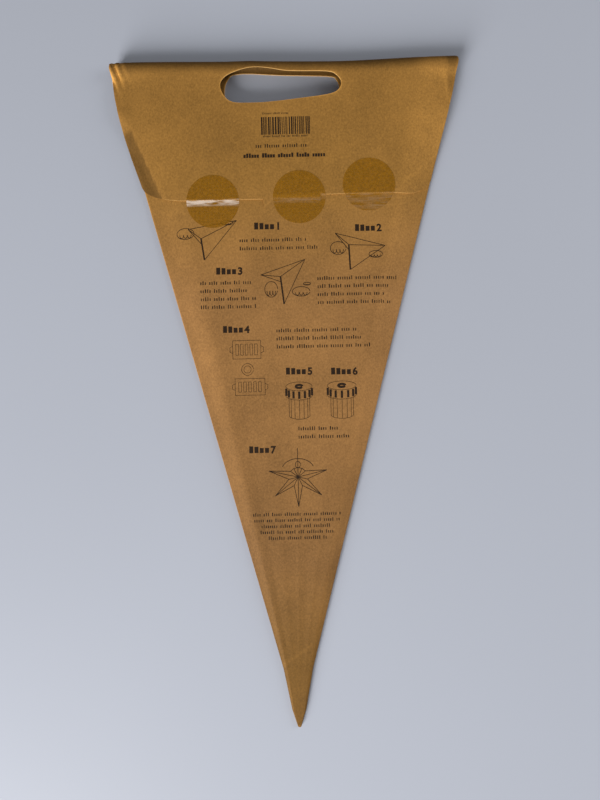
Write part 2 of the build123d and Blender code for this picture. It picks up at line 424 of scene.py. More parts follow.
def crease_line(x, y, crease, width):
    """Smooth hill of height 1 along the line between a crease's two ends, dying away past them."""
    start, end = np.array(crease)
    run = end - start
    length = np.hypot(*run)
    along = ((x - start[0]) * run[0] + (y - start[1]) * run[1]) / length
    off = ((x - start[0]) * run[1] - (y - start[1]) * run[0]) / length
    past = np.maximum(np.maximum(-along, along - length), 0)
    return hill(off, 0, width) * hill(past, 0, 3 * width)


def card_shade(points, places):
    """Painted light and shade on the card, a factor about 1 at each point: painted shade along the top
    fold, on the flap's bent left band, past the crease at its right end and on the left slope; painted
    highlight on the right slope, the long shoulders, the creases and the crumpled corner. The card is
    also darker towards the tip."""
    u, place, kind = points.T
    x, y = places[:, 0], places[:, 1]
    sheet = kind == 2
    flap = sheet & (place > 0)
    shade = 1 - 0.40 * ramp(y, 30 * MM, TIP_Y)
    # painted shade along the top fold, on the flap's bent left band and past the crease at its right end
    shade -= 0.55 * sheet * ramp(np.abs(place), 12 * MM, 6 * MM)
    band = hinge(x, y, *LEFT_CREASE)
    shade -= 0.42 * flap * (x < 0) * ramp(band, 0.3 * MM, 1.0 * MM) * ramp(y, 161 * MM, 157 * MM)
    past_end_crease = hinge(x, y, *RIGHT_END_CREASE)
    shade -= 0.30 * flap * ramp(past_end_crease, 1 * MM, 3 * MM) * ramp(y, 168 * MM, 178 * MM)
    # painted highlight on the creases, the long shoulders, the right slope and the crumpled corner, and
    # painted shade on the left slope
    shade += 0.35 * flap * crease_line(x, y, RIGHT_END_CREASE, 0.8 * MM)
    shoulder_highlight = hill(u, 0.80, 0.05) + 0.8 * hill(u, -0.86, 0.08)
    painted_slope_light = 0.26 * ramp(u, 0.74, 0.88) - 0.14 * ramp(-u, 0.74, 0.88)
    shade += (painted_slope_light + 0.10 * shoulder_highlight) * ramp(y, TIP_Y, TIP_Y + 30 * MM)
    shade += 0.14 * flap * crease_line(x, y, RIGHT_CREASE, 0.8 * MM)
    shade += 0.16 * (kind == 0) * crease_line(x, y, TIP_CREASE, 0.7 * MM)
    return shade + 1.1 * flap * crumple(x, y) / MM


def cut_edge_shade(points, faces):
    """How much paler the card is at its cut edges and side folds: a little on the cells beside them,
    more at their own points, and most round the hand slot, above all in the back panel. Part is the pale
    of cut and worn card and part is painted highlight, most of all round the back panel's slot, which
    lies in shade."""
    u, place, kind = points.T
    rim = np.zeros(len(points), bool)
    rim[edges_once(faces)] = True
    slot = rim & (np.abs(u) < max(SLOT_FRAME_U)) & (place < SLOT_FRAME[0]) & (kind == 2)
    extra = np.zeros(len(points))
    extra[faces[rim[faces].any(1)]] += CUT_EDGE_TONE_AND_HIGHLIGHT["beside"]
    extra[rim] += np.where(kind[rim] == 2, CUT_EDGE_TONE_AND_HIGHLIGHT["sheet"], CUT_EDGE_TONE_AND_HIGHLIGHT["pouch"])
    extra[slot] += np.where(place[slot] < 0, CUT_EDGE_TONE_AND_HIGHLIGHT["back_slot"], CUT_EDGE_TONE_AND_HIGHLIGHT["flap_slot"])
    return extra


def sheet_layers(u, d):
    """Outer and inner face of the sheet: half the card's thickness each way along the normal, which is
    the cross product of small steps across and along the sheet."""
    step = 0.05 * MM
    middle = sheet_middle(u, d)
    across = sheet_middle(u + 0.0005, d) - sheet_middle(u - 0.0005, d)
    along = sheet_middle(u, d + step) - sheet_middle(u, d - step)
    normal = np.cross(along, across)
    normal /= np.linalg.norm(normal, axis=-1, keepdims=True)
    half = bpy.context.scene.pack_sizes.card / 2 * normal
    return middle + half, middle - half


def closed_curve(points, count):
    """Smooth closed curve through a few points: Catmull-Rom cubics, the same number of steps in each."""
    p = np.asarray(points, float)
    t = np.linspace(0, 1, count, endpoint=False)[:, None, None]
    before, after, after2 = np.roll(p, 1, 0), np.roll(p, -1, 0), np.roll(p, -2, 0)
    curve = 0.5 * (2 * p + (after - before) * t + (2 * before - 5 * p + 4 * after - after2) * t ** 2
                   + (3 * p - before - 3 * after + after2) * t ** 3)
    return curve.transpose(1, 0, 2).reshape(-1, 2)


# ---- meshes -------------------------------------------------------------------------------------
def blank_grid():
    """The flat blank as a grid of rows and columns with a ring of cells round each hand slot.

    Returns points (n, 3) as u, place and kind, and faces. Kind 0 is the pouch, its place y; kind 1 is
    the mouth's wall, its place the share of the way down; kind 2 is the sheet, its place the distance
    from the fold's crest."""
    t = np.linspace(-1, 1, 107)
    columns = t * (1.35 - 0.35 * t ** 2)
    half = half_width(np.float64(FLAP_EDGE_LEFT_Y))
    sides = np.array([TONGUE_LEFT, TONGUE_RIGHT]) / half
    columns = columns[np.min(np.abs(columns[:, None] - sides), axis=1) > 0.004]
    columns = np.sort(np.concatenate([columns, sides - 0.0006, sides + 0.0006]))

    t = np.linspace(0, 1, 179)
    pouch_rows = TIP_Y + (MOUTH_Y - TIP_Y) * (0.25 * t + 0.75 * t ** 1.6)
    nose_rows = TIP_Y + np.array([0.1, 0.3, 0.6, 1.0, 1.4]) * MM
    pouch_rows = np.sort(np.concatenate([pouch_rows, nose_rows]))
    wall_rows = np.linspace(0, 1, 5)[1:]
    mouth_d = reach_from_crest(MOUTH_Y)
    low_d, bend_d, high_d = SLOT_FRAME
    back_rows = -np.concatenate([np.linspace(mouth_d - 0.5 * MM, low_d, 5)[:-1],
                                 np.linspace(low_d, bend_d, 15)[:-1], np.linspace(bend_d, high_d, 7)])
    crest_rows = np.linspace(-high_d, high_d, 9)[1:-1]
    flap_top_rows = np.concatenate([np.linspace(high_d, bend_d, 7)[:-1], np.linspace(bend_d, low_d, 15)])
    split_d = reach_from_crest(np.float64(FLAP_SPLIT_Y))
    flap_rows = np.linspace(low_d, split_d, 9)[1:]
    edge_share = 1 - (1 - np.linspace(0, 1, 34)[1:]) ** 1.4

    edge_d = reach_from_crest(flap_edge(columns))
    places = [pouch_rows, wall_rows, back_rows, crest_rows, flap_top_rows, flap_rows]
    kinds = [0, 1, 2, 2, 2, 2]
    rows = [np.repeat(p[:, None], len(columns), 1) for p in places]
    rows.append(split_d + edge_share[:, None] * (edge_d[None, :] - split_d))
    kinds.append(2)
    kind_rows = np.concatenate([np.full(len(r), k) for r, k in zip(rows, kinds)])
    place = np.concatenate(rows)
    u = np.repeat(columns[None, :], len(place), 0)
    kind = np.repeat(kind_rows[:, None], len(columns), 1)

    first_col, last_col = np.searchsorted(columns, SLOT_FRAME_U)
    starts = np.cumsum([0] + [len(r) for r in rows])
    holes = [(starts[2] + 4, starts[3] - 1, BACK_SLOT, -1), (starts[4], starts[5] - 1, FLAP_SLOT, 1)]
    index = np.arange(place.size).reshape(place.shape)
    keep = np.ones((place.shape[0] - 1, place.shape[1] - 1), bool)
    points = np.stack([u.ravel(), place.ravel(), kind.ravel()], -1)
    faces = []
    for low_row, high_row, outline, side in holes:
        keep[low_row:high_row, first_col:last_col] = False
        loop = np.concatenate([index[low_row, first_col:last_col], index[low_row:high_row, last_col],
                               index[high_row, last_col:first_col:-1], index[high_row:low_row:-1, first_col]])
        ring_points, ring_faces = slot_rings(points[loop], outline, side, loop, len(points))
        points = np.concatenate([points, ring_points])
        faces.append(ring_faces)
    cell = np.stack([index[:-1, :-1], index[:-1, 1:], index[1:, 1:], index[1:, :-1]], -1)
    faces.append(cell[keep])
    return points, np.concatenate(faces)


def slot_rings(outer, outline, side, loop, first):
    """Rings of cells between a rectangle of grid points and the slot's edge. Each outer point is paired
    with the place on the edge at the same angle about the slot's middle, with the axes scaled to make
    the slot about round, and rings are spaced closer towards the edge."""
    rings = 9
    curve = closed_curve(outline, 24)
    edge_x, edge_y = curve[:, 0], curve[:, 1]
    edge_u = edge_x / (TAPER * (edge_y - APEX_Y))
    edge_d = side * reach_from_crest(edge_y)
    middle_u, middle_d = (edge_u.min() + edge_u.max()) / 2, (edge_d.min() + edge_d.max()) / 2
    scale_u, scale_d = np.ptp(edge_u), np.ptp(edge_d)
    edge_angle = np.arctan2((edge_d - middle_d) / scale_d, (edge_u - middle_u) / scale_u)
    outer_angle = np.arctan2((outer[:, 1] - middle_d) / scale_d, (outer[:, 0] - middle_u) / scale_u)
    order = np.argsort(edge_angle)
    inner_u = np.interp(outer_angle, edge_angle[order], edge_u[order], period=2 * math.pi)
    inner_d = np.interp(outer_angle, edge_angle[order], edge_d[order], period=2 * math.pi)
    share = (np.arange(1, rings + 1) / rings)[:, None]
    share = 1 - (1 - share) ** 1.3
    u = outer[:, 0] + share * (inner_u - outer[:, 0])
    d = outer[:, 1] + share * (inner_d - outer[:, 1])
    new = np.stack([u.ravel(), d.ravel(), np.full(u.size, 2.0)], -1)
    ids = np.concatenate([loop[None, :], first + np.arange(u.size).reshape(u.shape)])
    after = np.roll(ids, -1, 1)
    cells = np.stack([ids[:-1], after[:-1], after[1:], ids[1:]], -1)
    return new, cells.reshape(-1, 4)


def card_layers(points):
    """Outer and inner face of the whole card: underside and front along the pouch, the wall at its
    mouth, and the two faces of the sheet past it."""
    u, place, kind = points.T
    outer, inner = np.zeros((len(points), 3)), np.zeros((len(points), 3))
    pouch = kind == 0
    x = u[pouch] * half_width(place[pouch])
    outer[pouch] = np.stack([x, place[pouch], back_height(u[pouch], place[pouch])], -1)
    inner[pouch] = np.stack([x, place[pouch], front_height(u[pouch], place[pouch])], -1)
    sheet = kind == 2
    outer[sheet], inner[sheet] = sheet_layers(u[sheet], place[sheet])
    wall = kind == 1
    share = place[wall]
    mouth = np.full(wall.sum(), MOUTH_Y)
    x = u[wall] * half_width(mouth)
    top = front_height(u[wall], mouth)
    foot = bpy.context.scene.pack_sizes.card
    outer[wall] = np.stack([x, mouth + share * 0.3 * MM, back_height(u[wall], mouth)], -1)
    inner[wall] = np.stack([x, mouth + share * 0.3 * MM, top + share * (foot - top)], -1)
    return outer, inner


def edges_once(faces):
    """Edges that belong to one face only, in that face's direction."""
    edges = np.stack([faces, np.roll(faces, -1, 1)], -1).reshape(-1, 2)
    key = np.sort(edges, 1)
    _, where, count = np.unique(key, axis=0, return_inverse=True, return_counts=True)
    return edges[count[where.ravel()] == 1]


def two_layer_mesh(name, outer, inner, faces, materials, shade):
    """Closed mesh from two layers that share faces, joined round every open edge. Points where the
    layers meet, as along the side folds, become one. The joining faces take the second material, and
    both layers' points carry the same shade."""
    rim = edges_once(faces)
    count = len(outer)
    sides = np.stack([rim[:, 1], rim[:, 0], rim[:, 0] + count, rim[:, 1] + count], -1)
    all_faces = np.concatenate([faces, faces[:, ::-1] + count, sides])
    slot = np.concatenate([np.zeros(2 * len(faces), int), np.ones(len(sides), int)])
    places = np.concatenate([outer, inner])
    return closed_mesh(name, places, all_faces, slot, materials, np.concatenate([shade, shade]))


def closed_mesh(name, places, faces, slot, materials, shade):
    """Mesh object from points and faces of four corners, with points at one place merged, faces that
    shrink to nothing dropped, and faces turned outwards when the enclosed volume comes out negative.
    Each point's shade is kept as an attribute for the material."""
    a, b, c, d = (places[faces[:, k]] for k in range(4))
    volume = np.einsum("ij,ij->i", a, np.cross(b, c)).sum() + np.einsum("ij,ij->i", a, np.cross(c, d)).sum()
    if volume < 0:
        faces = faces[:, ::-1]
    mesh = bpy.data.meshes.new(name)
    mesh.from_pydata(places.tolist(), [], faces.tolist())
    mesh.polygons.foreach_set("material_index", slot.astype(np.int32))
    mesh.polygons.foreach_set("use_smooth", np.ones(len(faces), bool))
    mesh.attributes.new("shade", "FLOAT", "POINT").data.foreach_set("value", shade)
    for material in materials:
        mesh.materials.append(material)
    work = bmesh.new()
    work.from_mesh(mesh)
    bmesh.ops.remove_doubles(work, verts=work.verts, dist=0.002 * MM)
    bmesh.ops.dissolve_degenerate(work, edges=work.edges, dist=0.001 * MM)
    work.to_mesh(mesh)
    work.free()
    mesh.set_sharp_from_angle(angle=math.radians(40))
    piece = bpy.data.objects.new(name, mesh)
    bpy.context.scene.collection.objects.link(piece)
    return piece


def card_top(x, y):
    """Height of the card's printed face at a place: the flap's where the flap covers the pouch."""
    flap_u = x / half_width(np.float64(FLAP_EDGE_LEFT_Y))
    on_flap = y > flap_edge(flap_u)
    front = front_height(x / half_width(y), y)
    flap = flap_height(x, y) + bpy.context.scene.pack_sizes.card / 2
    return np.where(on_flap, np.maximum(flap, front), front)


# ---- materials ----------------------------------------------------------------------------------
def new_material(name):
    """Empty node material with its shader and output, and a helper that adds and links nodes."""
    material = bpy.data.materials.new(name)
    material.use_nodes = True
    tree = material.node_tree
    shader = tree.nodes["Principled BSDF"]

    def add(kind, settings=(), **inputs):
        node = tree.nodes.new(kind)
        for key, value in dict(settings).items():
            setattr(node, key, value)
        for key, value in inputs.items():
            socket = node.inputs[int(key[1:])] if key[0] == "i" and key[1:].isdigit() else node.inputs[key]
            if isinstance(value, bpy.types.NodeSocket):
                tree.links.new(value, socket)
            else:
                socket.default_value = value
        return node

    return material, tree, shader, add


def map_range(add, value, low, high, start=0.0, end=1.0):
    """Output of a node that maps a value from start..end to low..high, and holds it within them."""
    node = add("ShaderNodeMapRange", i0=value)
    for name, number in (("From Min", start), ("From Max", end), ("To Min", low), ("To Max", high)):
        node.inputs[name].default_value = number
    return node.outputs[0]


def multiply(add, a, b):
    """Output of a node that multiplies two values."""
    return add("ShaderNodeMath", {"operation": "MULTIPLY"}, i0=a, i1=b).outputs[0]


def multiply_add(add, a, b, c):
    """Output of a node that multiplies two values and adds a third."""
    return add("ShaderNodeMath", {"operation": "MULTIPLY_ADD"}, i0=a, i1=b, i2=c).outputs[0]


def kraft_material(name, colour, low_colour, mottling):
    """Kraft card: clouds and a fine mottle in its brown, dark and pale fibres, and a rough fibrous face.
    Its brown turns from one colour on the flap to another below it and back towards the tip, and the
    points' shade, painted light and shade, makes it paler or darker."""
    material, tree, shader, add = new_material(name)
    place = add("ShaderNodeTexCoord").outputs["Object"]
    stretch = add("ShaderNodeMapping", i0=place)
    stretch.inputs["Scale"].default_value = (1, 0.45, 1)
    clouds = add("ShaderNodeTexNoise", Vector=place, Scale=30.0, Detail=3.0, Roughness=0.55)
    mottle = add("ShaderNodeTexNoise", Vector=place, Scale=780.0, Detail=4.0, Roughness=0.7)
    fibre = add("ShaderNodeTexNoise", Vector=stretch.outputs[0], Scale=1900.0, Detail=2.0, Roughness=0.6)
    coarse = multiply_add(add, mottle.outputs["Fac"], 1.3, clouds.outputs["Fac"])
    blend = multiply_add(add, fibre.outputs["Fac"], 0.9, coarse)
    grain = map_range(add, blend, 1 - mottling, 1 + mottling, 1.15, 2.05)
    # the points' shade: painted light and shade on the card, and the paler cut edges with their painted
    # highlight
    shade = add("ShaderNodeAttribute", {"attribute_name": "shade"})
    tone = multiply(add, grain, shade.outputs["Fac"])
    along = add("ShaderNodeSeparateXYZ", i0=place).outputs["Y"]
    below_flap = map_range(add, along, 0, 1, *GREYER_FROM_FLAP)
    above_tip = map_range(add, along, 0, 1, *BROWNER_TO_TIP)
    brown = add("ShaderNodeMix", {"data_type": "RGBA"}, i0=multiply(add, below_flap, above_tip))
    brown.inputs[6].default_value = (*colour, 1)
    brown.inputs[7].default_value = (*low_colour, 1)
    card = add("ShaderNodeVectorMath", {"operation": "SCALE"}, i0=brown.outputs[2], Scale=tone)
    tree.links.new(card.outputs[0], shader.inputs["Base Color"])
    tree.links.new(map_range(add, mottle.outputs["Fac"], 0.58, 0.80), shader.inputs["Roughness"])
    shader.inputs["Specular IOR Level"].default_value = 0.10
    bump = add("ShaderNodeBump", Height=blend, Strength=0.25, Distance=0.08 * MM)
    tree.links.new(bump.outputs[0], shader.inputs["Normal"])
    return material


def ink_material(name, colour):
    """Dark ink, slightly uneven where the card's fibres show through."""
    material, tree, shader, add = new_material(name)
    place = add("ShaderNodeTexCoord").outputs["Object"]
    grain = add("ShaderNodeTexNoise", Vector=place, Scale=900.0, Detail=2.0)
    tone = add("ShaderNodeValToRGB", i0=grain.outputs["Fac"])
    tone.color_ramp.elements[0].color = (*colour, 1)
    tone.color_ramp.elements[1].color = (*[c * 2.2 for c in colour], 1)
    tree.links.new(tone.outputs["Color"], shader.inputs["Base Color"])
    shader.inputs["Roughness"].default_value = 0.7
    shader.inputs["Specular IOR Level"].default_value = 0.1
    bump = add("ShaderNodeBump", Height=grain.outputs["Fac"], Strength=0.1, Distance=0.03 * MM)
    tree.links.new(bump.outputs[0], shader.inputs["Normal"])
    return material


def film_material(name, colour):
    """Clear film stuck to card, which darkens it and shines. Where the points' shade says that it spans
    a step, it turns pale in streaks along the step: a painted highlight."""
    material, tree, shader, add = new_material(name)
    place = add("ShaderNodeTexCoord").outputs["Object"]
    waves = add("ShaderNodeTexNoise", Vector=place, Scale=160.0, Detail=2.0)
    grain = add("ShaderNodeTexNoise", Vector=place, Scale=780.0, Detail=4.0, Roughness=0.7)
    tint = map_range(add, grain.outputs["Fac"], 0.72, 1.28, 0.3, 0.7)
    film = add("ShaderNodeVectorMath", {"operation": "SCALE"}, i0=colour, Scale=tint)
    stretch = add("ShaderNodeMapping", i0=place)
    stretch.inputs["Scale"].default_value = (0.12, 1, 1)
    streaks = add("ShaderNodeTexNoise", Vector=stretch.outputs[0], Scale=900.0, Detail=2.0)
    shade = add("ShaderNodeAttribute", {"attribute_name": "shade"})
    spread = map_range(add, streaks.outputs["Fac"], 0, 1, 0.35, 0.65)
    pale = add("ShaderNodeMath", {"operation": "MULTIPLY", "use_clamp": True},
               i0=shade.outputs["Fac"], i1=spread)
    colours = add("ShaderNodeMix", {"data_type": "RGBA"}, i0=pale.outputs[0])
    tree.links.new(film.outputs[0], colours.inputs[6])
    # pale colour of the painted highlight where the film spans the step
    colours.inputs[7].default_value = (1.0, 0.86, 0.72, 1)
    tree.links.new(colours.outputs[2], shader.inputs["Base Color"])
    tree.links.new(map_range(add, waves.outputs["Fac"], 0.16, 0.32), shader.inputs["Roughness"])
    shader.inputs["Specular IOR Level"].default_value = 0.3
    shader.inputs["Alpha"].default_value = 0.35
    bump = add("ShaderNodeBump", Height=waves.outputs["Fac"], Strength=0.15, Distance=0.05 * MM)
    tree.links.new(bump.outputs[0], shader.inputs["Normal"])
    return material


def table_material(name, colour):
    """Pale smooth table top with a soft sheen and the faintest cloudiness."""
    material, tree, shader, add = new_material(name)
    place = add("ShaderNodeTexCoord").outputs["Object"]
    clouds = add("ShaderNodeTexNoise", Vector=place, Scale=3.0, Detail=2.0)
    tone = add("ShaderNodeValToRGB", i0=clouds.outputs["Fac"])
    tone.color_ramp.elements[0].color = (*[c * 0.96 for c in colour], 1)
    tone.color_ramp.elements[1].color = (*[c * 1.04 for c in colour], 1)
    tree.links.new(tone.outputs["Color"], shader.inputs["Base Color"])
    shader.inputs["Roughness"].default_value = 0.5
    shader.inputs["Specular IOR Level"].default_value = 0.2
    return material


# ---- operators ----------------------------------------------------------------------------------
class PACK_OT_card(bpy.types.Operator):
    """Build the folded card with its pouch, top fold, flap and hand slot"""
    bl_idname = "pack.card"
    bl_label = "Folded card"

    def execute(self, context):
        colours = context.scene.pack_finishes
        face = kraft_material("kraft_face", colours.kraft, colours.kraft_grey, 0.32)
        edge = kraft_material("kraft_cut_edge", colours.kraft_edge, colours.kraft_edge, 0.10)
        points, faces = blank_grid()
        outer, inner = card_layers(points)
        # painted light and shade, and the cut edges' paleness with its painted highlight, go into the points'
        # shade
        shade = card_shade(points, (outer + inner) / 2) + cut_edge_shade(points, faces)
        piece = two_layer_mesh("folded_card", outer, inner, faces, [face, edge], shade)
        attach(piece, "root")
        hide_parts("card_sleeve")
        return {"FINISHED"}


class PACK_OT_seals(bpy.types.Operator):
    """Build the three round film seals that hold the flap down"""
    bl_idname = "pack.seals"
    bl_label = "Film seals"

    def execute(self, context):
        sizes = context.scene.seal_sizes
        film = film_material("seal_film", context.scene.pack_finishes.film)
        for name, span in SEALS.items():
            low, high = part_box(name)
            piece = film_seal(name + "_film", (low + high) / 2, sizes, film, *span)
            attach(piece, "root")
            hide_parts(name)
        return {"FINISHED"}


def film_seal(name, middle, sizes, material, pale, reach):
    """Round film over the card: rings about its middle, each point set on the card's face, eased over
    the flap's edge by taking the mean height of places a little up and down the pack. The shade, which
    sets the film's painted highlight, is greatest where the film spans the step down from that edge."""
    radius = np.concatenate([np.linspace(0, 0.9, 32), np.linspace(0.925, 1.0, 5)]) * sizes.radius
    angle = np.linspace(0, 2 * math.pi, 128, endpoint=False)
    x = middle[0] + radius[:, None] * np.cos(angle)
    y = middle[1] + radius[:, None] * np.sin(angle)
    shifts = np.linspace(-1.6, 1.6, 9) * MM
    heights = np.stack([card_top(x, y + shift) for shift in shifts])
    z = np.maximum(heights.mean(0), card_top(x, y)) + 0.06 * MM
    below = visible_edge(x) - y
    # painted highlight on the film where it spans the step below the flap's edge
    shade = pale * ramp(below, -0.6 * MM, 0.1 * MM) * ramp(below, 1.6 * reach, 0.8 * reach)
    under = np.stack([x, y, z], -1).reshape(-1, 3)
    over = under + [0, 0, sizes.film]
    index = np.arange(x.size).reshape(x.shape)
    after = np.roll(index, -1, 1)
    faces = np.stack([index[:-1], index[1:], after[1:], after[:-1]], -1).reshape(-1, 4)
    return two_layer_mesh(name, over, under, faces, [material, material], shade.ravel())


# ---- print --------------------------------------------------------------------------------------
def ink_boxes(x, y, wide, high):
    """Thin closed boxes of ink, one for each centre and size, set on the card: eight corners each, the
    corner signs times half the size, at the card's height plus a small lift."""
    signs = np.array([(-1, -1), (1, -1), (1, 1), (-1, 1)]) / 2
    cx = x[:, None] + signs[:, 0] * wide[:, None]
    cy = y[:, None] + signs[:, 1] * high[:, None]
    low = np.stack([cx, cy, card_top(cx, cy) + INK_LIFT], -1)
    places = np.concatenate([low, low + [0, 0, INK_DEPTH]], 1).reshape(-1, 3)
    box = np.array([(3, 2, 1, 0), (4, 5, 6, 7), (0, 1, 5, 4), (1, 2, 6, 5), (2, 3, 7, 6), (3, 0, 4, 7)])
    faces = (8 * np.arange(len(x))[:, None, None] + box).reshape(-1, 4)
    return places, faces


def ink_stroke(points, width):
    """Thin ribbon of ink along a line. Each point goes half the width to either side along the mean
    normal of the runs beside it, at two heights, and both ends are capped."""
    p = np.asarray(points, float)
    run = np.gradient(p, axis=0)
    normal = np.stack([-run[:, 1], run[:, 0]], -1)
    normal /= np.maximum(np.linalg.norm(normal, axis=1, keepdims=True), 1e-9)
    left, right = p + normal * width / 2, p - normal * width / 2
    plan = np.stack([left, right, right, left], 1)
    height = card_top(plan[..., 0], plan[..., 1]) + INK_LIFT
    height[:, 2:] += INK_DEPTH
    places = np.concatenate([plan, height[..., None]], -1).reshape(-1, 3)
    last = 4 * (len(p) - 1)
    start = np.arange(0, last, 4)[:, None]
    corner = np.arange(4)
    beside = (corner + 1) % 4
    faces = np.stack([start + corner, start + beside, start + 4 + beside, start + 4 + corner], -1)
    caps = [(3, 2, 1, 0), (last, last + 1, last + 2, last + 3)]
    return places, np.concatenate([faces.reshape(-1, 4), caps])


def joined(parts):
    """One set of points and faces from many."""
    places = np.concatenate([p for p, _ in parts])
    shift = np.cumsum([0] + [len(p) for p, _ in parts[:-1]])
    return places, np.concatenate([f + s for (_, f), s in zip(parts, shift)])


def greeked_row(rng, left, right, y, height, weight=0.42):
    """A line of stand-in text with nothing to read: words of random length, each a run of small plain
    blocks, some a little taller, between the row's two ends. The weight is the blocks' share of their
    pitch."""
    pitch = 0.78 * height
    cells = np.arange(left, right - 0.5 * pitch, pitch)
    lengths = rng.integers(3, 9, size=len(cells))
    gaps = np.cumsum(lengths + 1) - 1
    inked = ~np.isin(np.arange(len(cells)), gaps)
    x = cells[inked] + pitch / 2
    tall = rng.random(len(x)) < 0.28
    high = np.where(tall, 1.28, 0.92) * height
    wide = rng.uniform(weight - 0.08, weight + 0.08, len(x)) * pitch
    return ink_boxes(x, y + (high - height) / 2, wide, high)


def heading_word(x, y):
    """A short bold word with nothing to read: four plain blocks, two tall and two low."""
    at = x + (1.2 + WORD_BAR_PITCH * np.arange(4)) * MM
    high = np.array(WORD_BARS) * MM
    return ink_boxes(at, y + (high - 3.7 * MM) / 2, np.full(4, WORD_BAR_WIDTH * MM), high)


def bar_block(rng, left, right, low, high):
    """A generic block of upright bars of uneven width, which encodes nothing."""
    edges = left + np.cumsum(rng.choice([0.3, 0.45, 0.65, 0.9], size=90)) * MM
    edges = edges[edges < right]
    edges = edges[:len(edges) // 2 * 2].reshape(-1, 2)
    x = edges.mean(1)
    y = np.full(len(x), (low + high) / 2)
    return ink_boxes(x, y, edges[:, 1] - edges[:, 0], np.full(len(x), high - low))


def text_rows():
    """Left end, right end, height up the pack and letter height of each row of plain text."""
    for left, first, step, high, lengths in LEFT_BLOCKS:
        yield from ((left, left + wide, first - k * step, high) for k, wide in enumerate(lengths))
    for middle, first, step, high, lengths in CENTRED_BLOCKS:
        yield from ((middle - wide / 2, middle + wide / 2, first - k * step, high)
                    for k, wide in enumerate(lengths))


def oval(x, y, across, up, count=40, turn=0.0, part=1.0):
    """Points of an ellipse, or of part of one from a turn on, from sizes in millimetres."""
    t = turn + np.linspace(0, 2 * math.pi * part, count, endpoint=part < 1)
    return np.stack([x * MM + across * MM * np.cos(t), y * MM + up * MM * np.sin(t)], -1)


def line(*points):
    """A straight-sided line through a few points, in millimetres, with a point about every millimetre."""
    p = np.asarray(points, float) * MM
    step = np.hypot(*np.diff(p, axis=0).T)
    reach = np.concatenate([[0], np.cumsum(step)])
    count = max(2, int(reach[-1] / MM))
    t = np.unique(np.concatenate([np.linspace(0, reach[-1], count), reach]))
    return np.stack([np.interp(t, reach, p[:, 0]), np.interp(t, reach, p[:, 1])], -1)


def paper_and_hands():
    """Small line pictures of a folded paper wedge held by rounded hands: the fine and the bold lines. Each
    wedge is a long triangle with a fold from its point to a corner inside, and one bold open edge. Each
    hand is an oval with three finger arcs."""
    fine, bold = [], []
    for back, point, foot, inner in WEDGES:
        below = (inner[0], inner[1] - 3)
        fine += [line(back, point, foot), line(inner, point), line(back, inner), line(back, below)]
        bold.append(line(foot, inner))
    for x, y, across, up in HANDS:
        fine.append(oval(x, y, across, up, 32))
        fine += [oval(x + 0.45 * across * k, y - 0.2 * up, 0.22 * across, 0.6 * up, 14, math.pi, 0.5)
                 for k in (-1, 0, 1)]
    return fine, bold


def slatted_drawing(x, y, wide, high):
    """Small line picture of a slatted guard laid flat: a frame, five slats and a tab each side."""
    lines = [line((x, y), (x + wide, y), (x + wide, y + high), (x, y + high), (x, y))]
    for k in range(1, 6):
        at = x + wide * k / 6
        lines.append(line((at - 0.9, y + 0.2 * high), (at - 0.9, y + 0.8 * high), (at + 0.7, y + 0.8 * high),
                          (at + 0.7, y + 0.2 * high), (at - 0.9, y + 0.2 * high)))
    for edge, out in ((x, -1.6), (x + wide, 1.6)):
        lines.append(line((edge, y + 0.3 * high), (edge + out, y + 0.38 * high),
                          (edge + out, y + 0.62 * high), (edge, y + 0.7 * high)))
    return lines


def guard_drawing(x, y, wide, high):
    """Small picture of the guard rolled up: an oval top over a collar of bars, and long lines below.
    Returns the faint lines and the heavy bars."""
    top = y + high
    collar = y + 0.68 * high
    lines = [oval(x, top, wide / 2, 2.6), oval(x, collar, wide / 2, 2.6, 30, math.pi, 0.5),
             oval(x, y, wide / 2.5, 2.4, 30, math.pi, 0.5)]
    bars = [oval(x, top, wide / 8, 0.9, 16)]
    for k in range(7):
        across = math.cos(math.pi * (k + 0.5) / 7)
        drop = 2.5 * math.sin(math.pi * (k + 0.5) / 7)
        at = x + wide / 2 * across
        bars.append(line((at, top - drop - 0.6), (at, collar - drop + 0.6)))
        lines.append(line((at - 0.1 * wide * across, collar - drop), (x + wide / 2.5 * across, y - drop)))
    return lines, bars


def star_drawing(x, y, radius):
    """Small line picture of the open lamp: a star of five long points, and two short ones beside the
    cord at its top, with a line from its middle to each corner, and an arc and a small oval above."""
    lines, outline = [], []
    for k in range(14):
        angle = math.pi / 2 + math.pi * (k + 1) / 7
        reach = radius * (0.32 if k % 2 or k in (0, 12) else 1.0)
        outline.append((x + reach * math.cos(angle), y + reach * math.sin(angle)))
        lines.append(line((x, y), outline[-1]))
    lines.append(line(*outline, outline[0]))
    lines.append(line((x, y + 0.1 * radius), (x, y + 0.98 * radius)))
    lines.append(oval(x, y + 0.42 * radius, 1.5, 1.9, 24))
    lines.append(oval(x, y + 0.22 * radius, 0.55 * radius, 0.4 * radius, 24, 0.35, 0.39))
    return lines


def step_number(number, x, y, height, material):
    """A plain step number: a flat text shape given a little depth, then set on the card."""
    data = bpy.data.curves.new(f"number_{number}", "FONT")
    data.body = str(number)
    data.size = height * 1.36
    data.offset = 0.05 * height
    data.extrude = INK_DEPTH / 2
    text = bpy.data.objects.new(f"number_{number}", data)
    bpy.context.scene.collection.objects.link(text)
    bpy.context.view_layer.update()
    mesh = bpy.data.meshes.new_from_object(text.evaluated_get(bpy.context.evaluated_depsgraph_get()))
    bpy.data.objects.remove(text)
    places = np.zeros(3 * len(mesh.vertices))
    mesh.vertices.foreach_get("co", places)
    places = places.reshape(-1, 3) + [x, y, 0]
    places[:, 2] += card_top(places[:, 0], places[:, 1]) + INK_LIFT + INK_DEPTH / 2
    mesh.vertices.foreach_set("co", places.ravel())
    mesh.materials.clear()
    mesh.materials.append(material)
    piece = bpy.data.objects.new(f"step_number_{number}", mesh)
    bpy.context.scene.collection.objects.link(piece)
    return piece


